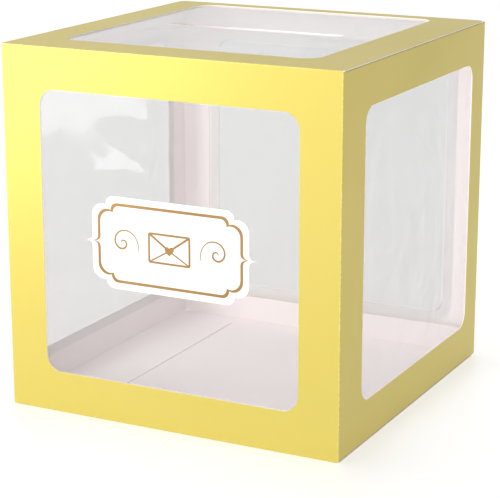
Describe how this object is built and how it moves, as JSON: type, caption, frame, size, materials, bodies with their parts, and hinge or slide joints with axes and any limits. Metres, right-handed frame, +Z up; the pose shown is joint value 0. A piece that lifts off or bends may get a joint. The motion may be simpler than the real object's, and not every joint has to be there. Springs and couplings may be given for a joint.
{
  "type": "wedding card box",
  "caption": "Cube carton of gold card with clear film windows in its walls and lid, a posting slot in the lid film, a labelled front, and a hinged lid and bottom with tuck flaps.",
  "frame": {"origin": "On the floor under the middle of the closed box.", "axes": "+Z up, the labelled front wall faces -Y, +X to the right seen from the front, metres."},
  "size_m": [0.3, 0.3, 0.305],
  "materials": {
    "gold_card": "satin metallic gold face on white-backed card",
    "clear_film": "clear glossy film, slightly rippled",
    "adhesive_tape": "double-sided tape, milky",
    "white_card": "smooth matt white card",
    "gold_foil": "hot-stamped gold foil, satin"
  },
  "bodies": {
    "sleeve": {"front_wall": "gold_card", "right_wall": "gold_card", "back_wall": "gold_card", "left_wall": "gold_card", "glue_flap": "gold_card", "front_window_film": "clear_film", "right_window_film": "clear_film", "back_window_film": "clear_film", "left_window_film": "clear_film", "front_window_tape": "adhesive_tape", "right_window_tape": "adhesive_tape", "back_window_tape": "adhesive_tape", "left_window_tape": "adhesive_tape", "label_card": "white_card", "label_gold_border": "gold_foil", "label_envelope": "gold_foil", "label_scroll_left": "gold_foil", "label_scroll_right": "gold_foil"},
    "lid": {"lid_panel": "gold_card", "lid_window_film": "clear_film", "lid_window_tape": "adhesive_tape"},
    "lid_tuck": {"lid_tuck_flap": "gold_card"},
    "top_left_dust": {"top_left_dust_flap": "gold_card"},
    "top_right_dust": {"top_right_dust_flap": "gold_card"},
    "bottom": {"bottom_panel": "gold_card"},
    "bottom_tuck": {"bottom_tuck_flap": "gold_card"},
    "bottom_left_dust": {"bottom_left_dust_flap": "gold_card"},
    "bottom_right_dust": {"bottom_right_dust_flap": "gold_card"}
  },
  "joints": [
    {"name": "lid_crease", "type": "hinge", "parent": "sleeve", "child": "lid", "pos_m": [0, -0.15, 0.305], "axis": [1, 0, 0], "range_deg": [0, 180]},
    {"name": "lid_tuck_crease", "type": "hinge", "parent": "lid", "child": "lid_tuck", "pos_m": [0, 0.1486, 0.305], "axis": [1, 0, 0], "range_deg": [0, 90]},
    {"name": "top_left_dust_crease", "type": "hinge", "parent": "sleeve", "child": "top_left_dust", "pos_m": [-0.1487, 0, 0.3032], "axis": [0, 1, 0], "range_deg": [0, 80]},
    {"name": "top_right_dust_crease", "type": "hinge", "parent": "sleeve", "child": "top_right_dust", "pos_m": [0.1487, 0, 0.3032], "axis": [0, -1, 0], "range_deg": [0, 80]},
    {"name": "bottom_crease", "type": "hinge", "parent": "sleeve", "child": "bottom", "pos_m": [0, -0.15, 0], "axis": [-1, 0, 0], "range_deg": [0, 180]},
    {"name": "bottom_tuck_crease", "type": "hinge", "parent": "bottom", "child": "bottom_tuck", "pos_m": [0, 0.1486, 0], "axis": [-1, 0, 0], "range_deg": [0, 90]},
    {"name": "bottom_left_dust_crease", "type": "hinge", "parent": "sleeve", "child": "bottom_left_dust", "pos_m": [-0.1487, 0, 0.0015], "axis": [0, -1, 0], "range_deg": [0, 80]},
    {"name": "bottom_right_dust_crease", "type": "hinge", "parent": "sleeve", "child": "bottom_right_dust", "pos_m": [0.1487, 0, 0.0015], "axis": [0, 1, 0], "range_deg": [0, 80]}
  ],
  "couplings": [
    {"joint": "lid_tuck_crease", "follows": "lid_crease", "ratio": 0.5},
    {"joint": "bottom_tuck_crease", "follows": "bottom_crease", "ratio": 0.5}
  ]
}
